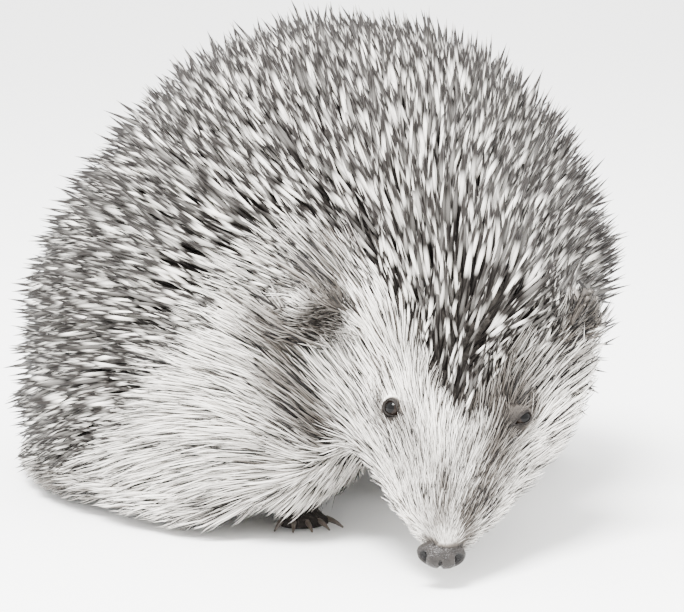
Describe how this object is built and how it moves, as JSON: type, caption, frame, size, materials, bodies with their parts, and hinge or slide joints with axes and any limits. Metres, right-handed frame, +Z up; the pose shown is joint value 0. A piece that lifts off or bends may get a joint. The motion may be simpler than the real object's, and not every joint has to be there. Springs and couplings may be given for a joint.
{
  "type": "european hedgehog",
  "caption": "Still life-size hedgehog crouching on four feet, head lowered and turned to its right, spiny domed back and a skirt of long pale fur.",
  "frame": {"origin": "centre of the plan bounding box at the level of the soles", "axes": "+Z up; the animal faces -Y and its left side is at +X; the trunk runs along Y"},
  "size_m": [0.155, 0.2352, 0.1263],
  "materials": {
    "spines": "horn spines banded dark brown and cream",
    "fur": "coarse matte hair, pale brown and cream",
    "bare_skin": "fine-grained skin, thinly haired",
    "nose_leather": "moist, finely pebbled",
    "claw_horn": "smooth horn",
    "eye_black": "wet gloss"
  },
  "bodies": {
    "root": {"trunk_back": "spines", "trunk_belly": "fur", "neck": "fur", "head": "fur", "ear_left": "bare_skin", "ear_right": "bare_skin", "eye_left": "eye_black", "eye_right": "eye_black", "nose": "nose_leather", "foreleg_left": "fur", "foreleg_right": "fur", "hindleg_left": "fur", "hindleg_right": "fur", "forepaw_left": "bare_skin", "forepaw_left_claw_1": "claw_horn", "forepaw_left_claw_2": "claw_horn", "forepaw_left_claw_3": "claw_horn", "forepaw_left_claw_4": "claw_horn", "forepaw_left_claw_5": "claw_horn", "forepaw_right": "bare_skin", "forepaw_right_claw_1": "claw_horn", "forepaw_right_claw_2": "claw_horn", "forepaw_right_claw_3": "claw_horn", "forepaw_right_claw_4": "claw_horn", "forepaw_right_claw_5": "claw_horn", "hindpaw_left": "bare_skin", "hindpaw_left_claw_1": "claw_horn", "hindpaw_left_claw_2": "claw_horn", "hindpaw_left_claw_3": "claw_horn", "hindpaw_left_claw_4": "claw_horn", "hindpaw_left_claw_5": "claw_horn", "hindpaw_right": "bare_skin", "hindpaw_right_claw_1": "claw_horn", "hindpaw_right_claw_2": "claw_horn", "hindpaw_right_claw_3": "claw_horn", "hindpaw_right_claw_4": "claw_horn", "hindpaw_right_claw_5": "claw_horn", "tail": "fur"}
  },
  "joints": []
}
